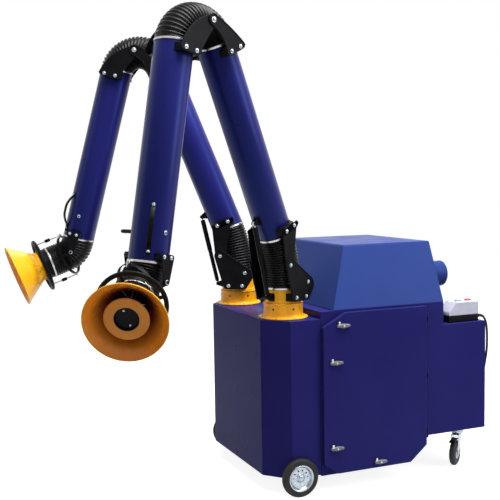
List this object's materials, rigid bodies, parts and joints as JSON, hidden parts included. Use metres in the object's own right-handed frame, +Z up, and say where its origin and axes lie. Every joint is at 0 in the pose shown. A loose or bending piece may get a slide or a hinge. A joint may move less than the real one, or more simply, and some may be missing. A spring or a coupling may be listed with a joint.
{
  "type": "mobile fume extractor",
  "caption": "Wheeled welding-fume filter cabinet with a fan hood and jointed suction arms that end in round hoods with ring handles.",
  "frame": {"origin": "centre of the machine's footprint box on the floor, measured without the mains lead, its coil and its plug", "axes": "+Z up, +X from the inlet column to the rear castors, +Y from the door side to the far side"},
  "size_m": [2.3561, 1.8718, 2.1671],
  "materials": {
    "black_rubber": "matt",
    "black_steel": "satin",
    "body_blue": "semi-gloss powder coat",
    "bright_zinc": "zinc plated",
    "filter_paper": "matt",
    "green_plastic": "gloss",
    "grey_plastic": "satin",
    "red_plastic": "gloss",
    "signal_orange": "gloss",
    "tube_blue": "gloss",
    "white_cover": "satin"
  },
  "bodies": {
    "machine": {"front_column": "body_blue", "cabinet_shell": "body_blue", "fan_hood": "body_blue", "fan_motor": "black_steel", "filter_cartridge": "filter_paper", "near_arm_flange": "signal_orange", "far_arm_flange": "signal_orange", "switch_base": "black_steel", "switch_cover": "white_cover", "mains_cord": "black_rubber", "mains_coil": "black_rubber", "mains_plug": "red_plastic"},
    "door": {"cabinet_door": "body_blue"},
    "latch_top": {"door_latch_top": "grey_plastic"},
    "latch_middle": {"door_latch_middle": "grey_plastic"},
    "latch_low": {"door_latch_low": "grey_plastic"},
    "latch_foot": {"door_latch_foot": "grey_plastic"},
    "front_wheel_near": {"front_wheel_near": "black_rubber"},
    "castor_near": {"castor_fork_near": "bright_zinc"},
    "castor_wheel_near": {"castor_wheel_near": "black_rubber"},
    "front_wheel_far": {"front_wheel_far": "black_rubber"},
    "castor_far": {"castor_fork_far": "bright_zinc"},
    "castor_wheel_far": {"castor_wheel_far": "black_rubber"},
    "impeller": {"fan_impeller": "bright_zinc"},
    "start_button": {"start_button": "green_plastic"},
    "stop_button": {"stop_button": "red_plastic"},
    "near_base": {"near_turn_collar": "signal_orange", "near_shoulder_base_yoke": "black_steel", "near_shoulder_hose": "black_rubber"},
    "near_lower": {"near_lower_tube": "tube_blue", "near_shoulder_tube_yoke": "black_steel", "near_elbow_lower_yoke": "black_steel", "near_elbow_hose": "black_rubber"},
    "near_strut": {"near_strut_cylinder": "black_steel"},
    "near_strut_end": {"near_strut_rod": "bright_zinc"},
    "near_upper": {"near_upper_tube": "tube_blue", "near_elbow_upper_yoke": "black_steel", "near_hood_yoke": "black_steel", "near_hood_hose": "black_rubber"},
    "near_damper": {"near_damper_valve": "black_steel"},
    "near_gimbal": {"near_hood_gimbal": "black_steel"},
    "near_hood": {"near_ring_handle": "black_steel", "near_suction_hood": "signal_orange"},
    "far_base": {"far_turn_collar": "signal_orange", "far_shoulder_base_yoke": "black_steel", "far_shoulder_hose": "black_rubber"},
    "far_lower": {"far_lower_tube": "tube_blue", "far_shoulder_tube_yoke": "black_steel", "far_elbow_lower_yoke": "black_steel", "far_elbow_hose": "black_rubber"},
    "far_strut": {"far_strut_cylinder": "black_steel"},
    "far_strut_end": {"far_strut_rod": "bright_zinc"},
    "far_upper": {"far_upper_tube": "tube_blue", "far_elbow_upper_yoke": "black_steel", "far_hood_yoke": "black_steel", "far_hood_hose": "black_rubber"},
    "far_damper": {"far_damper_valve": "black_steel"},
    "far_gimbal": {"far_hood_gimbal": "black_steel"},
    "far_hood": {"far_ring_handle": "black_steel", "far_suction_hood": "signal_orange"}
  },
  "joints": [
    {"name": "door_swing", "type": "hinge", "parent": "machine", "child": "door", "pos_m": [0.71628, -0.392, -0.00089], "axis": [0, 0, 1], "range_deg": [0, 110]},
    {"name": "latch_top_turn", "type": "hinge", "parent": "door", "child": "latch_top", "pos_m": [0.25728, -0.403, 0.76111], "axis": [0, 1, 0], "range_deg": [0, 90]},
    {"name": "latch_middle_turn", "type": "hinge", "parent": "door", "child": "latch_middle", "pos_m": [0.22028, -0.403, 0.59311], "axis": [0, 1, 0], "range_deg": [0, 90]},
    {"name": "latch_low_turn", "type": "hinge", "parent": "door", "child": "latch_low", "pos_m": [0.22128, -0.403, 0.19711], "axis": [0, 1, 0], "range_deg": [0, 90]},
    {"name": "latch_foot_turn", "type": "hinge", "parent": "door", "child": "latch_foot", "pos_m": [0.45028, -0.403, 0.10411], "axis": [0, 1, 0], "range_deg": [0, 90]},
    {"name": "front_wheel_near_roll", "type": "hinge", "parent": "machine", "child": "front_wheel_near", "pos_m": [0.03328, -0.3997, 0.08661], "axis": [0, 1, 0], "continuous": true},
    {"name": "castor_near_swivel", "type": "hinge", "parent": "machine", "child": "castor_near", "pos_m": [0.95128, -0.3057, -0.00089], "axis": [0, 0, 1], "continuous": true},
    {"name": "castor_near_roll", "type": "hinge", "parent": "castor_near", "child": "castor_wheel_near", "pos_m": [0.92449, -0.32664, 0.06161], "axis": [-0.6157, 0.788, 0], "continuous": true},
    {"name": "front_wheel_far_roll", "type": "hinge", "parent": "machine", "child": "front_wheel_far", "pos_m": [0.03328, 0.4713, 0.08661], "axis": [0, 1, 0], "continuous": true},
    {"name": "castor_far_swivel", "type": "hinge", "parent": "machine", "child": "castor_far", "pos_m": [0.95128, 0.3773, -0.00089], "axis": [0, 0, 1], "continuous": true},
    {"name": "castor_far_roll", "type": "hinge", "parent": "castor_far", "child": "castor_wheel_far", "pos_m": [0.91934, 0.36567, 0.06161], "axis": [-0.342, 0.9397, 0], "continuous": true},
    {"name": "impeller_spin", "type": "hinge", "parent": "machine", "child": "impeller", "pos_m": [0.58003, 0.0358, -0.00089], "axis": [0, 0, 1], "continuous": true},
    {"name": "start_press", "type": "slide", "parent": "machine", "child": "start_button", "axis": [0, 0, -1], "range_m": [0, 0.003], "stiffness_N_per_m": 400},
    {"name": "stop_press", "type": "slide", "parent": "machine", "child": "stop_button", "axis": [0, 0, -1], "range_m": [0, 0.003], "stiffness_N_per_m": 400},
    {"name": "near_swivel", "type": "hinge", "parent": "machine", "child": "near_base", "pos_m": [0.03628, -0.2337, 0.79611], "axis": [0, 0, 1], "range_deg": [-15, 100]},
    {"name": "near_shoulder", "type": "hinge", "parent": "near_base", "child": "near_lower", "pos_m": [-0.03104, -0.2656, 1.04661], "axis": [0.4281, -0.9037, 0], "range_deg": [-12, 15], "deforming": ["near_shoulder_hose"]},
    {"name": "near_strut_swing", "type": "hinge", "parent": "near_base", "child": "near_strut", "pos_m": [-0.05951, -0.27909, 0.89611], "axis": [0.4281, -0.9037, 0], "range_deg": [-12, 12]},
    {"name": "near_strut_slide", "type": "slide", "parent": "near_strut", "child": "near_strut_end", "axis": [-0.2249, -0.1065, 0.9685], "range_m": [-0.03, 0.03]},
    {"name": "near_elbow", "type": "hinge", "parent": "near_lower", "child": "near_upper", "pos_m": [-0.45163, -0.46486, 2.06314], "axis": [0.4281, -0.9037, 0], "range_deg": [-60, 10], "deforming": ["near_elbow_hose"]},
    {"name": "near_damper_turn", "type": "hinge", "parent": "near_upper", "child": "near_damper", "pos_m": [-0.68673, -0.57624, 1.22946], "axis": [0.4281, -0.9037, 0], "range_deg": [0, 90]},
    {"name": "near_hood_tilt", "type": "hinge", "parent": "near_upper", "child": "near_gimbal", "pos_m": [-0.71028, -0.5874, 1.043], "axis": [0.4281, -0.9037, 0], "range_deg": [-5, 65], "deforming": ["near_hood_hose"]},
    {"name": "near_hood_swing", "type": "hinge", "parent": "near_gimbal", "child": "near_hood", "pos_m": [-0.75651, -0.6093, 1.02023], "axis": [-0.3676, -0.1741, 0.9135], "range_deg": [-76, 4], "deforming": ["near_hood_hose"]},
    {"name": "far_swivel", "type": "hinge", "parent": "machine", "child": "far_base", "pos_m": [0.03628, 0.3053, 0.79611], "axis": [0, 0, 1], "range_deg": [-100, 15]},
    {"name": "far_shoulder", "type": "hinge", "parent": "far_base", "child": "far_lower", "pos_m": [-0.02771, 0.34344, 1.04661], "axis": [-0.512, -0.859, 0], "range_deg": [-12, 15], "deforming": ["far_shoulder_hose"]},
    {"name": "far_strut_swing", "type": "hinge", "parent": "far_base", "child": "far_strut", "pos_m": [-0.05477, 0.35957, 0.89611], "axis": [-0.512, -0.859, 0], "range_deg": [-12, 12]},
    {"name": "far_strut_slide", "type": "slide", "parent": "far_strut", "child": "far_strut_end", "axis": [-0.19, 0.1132, 0.9752], "range_m": [-0.03, 0.03]},
    {"name": "far_elbow", "type": "hinge", "parent": "far_lower", "child": "far_upper", "pos_m": [-0.38589, 0.55697, 2.08393], "axis": [-0.512, -0.859, 0], "range_deg": [-60, 10], "deforming": ["far_elbow_hose"]},
    {"name": "far_damper_turn", "type": "hinge", "parent": "far_upper", "child": "far_damper", "pos_m": [-0.66277, 0.72201, 1.25304], "axis": [-0.512, -0.859, 0], "range_deg": [0, 90]},
    {"name": "far_hood_tilt", "type": "hinge", "parent": "far_upper", "child": "far_gimbal", "pos_m": [-0.69626, 0.74198, 1.06886], "axis": [-0.512, -0.859, 0], "range_deg": [-8, 62], "deforming": ["far_hood_hose"]},
    {"name": "far_hood_swing", "type": "hinge", "parent": "far_gimbal", "child": "far_hood", "pos_m": [-0.74054, 0.76838, 1.04698], "axis": [-0.3356, 0.2001, 0.9205], "range_deg": [-67, 13], "deforming": ["far_hood_hose"]}
  ],
  "couplings": [
    {"joint": "near_strut_swing", "follows": "near_shoulder", "ratio": 0.605},
    {"joint": "near_strut_slide", "follows": "near_shoulder", "m_per_rad": -0.0705},
    {"joint": "far_strut_swing", "follows": "far_shoulder", "ratio": 0.6},
    {"joint": "far_strut_slide", "follows": "far_shoulder", "m_per_rad": -0.0699}
  ]
}
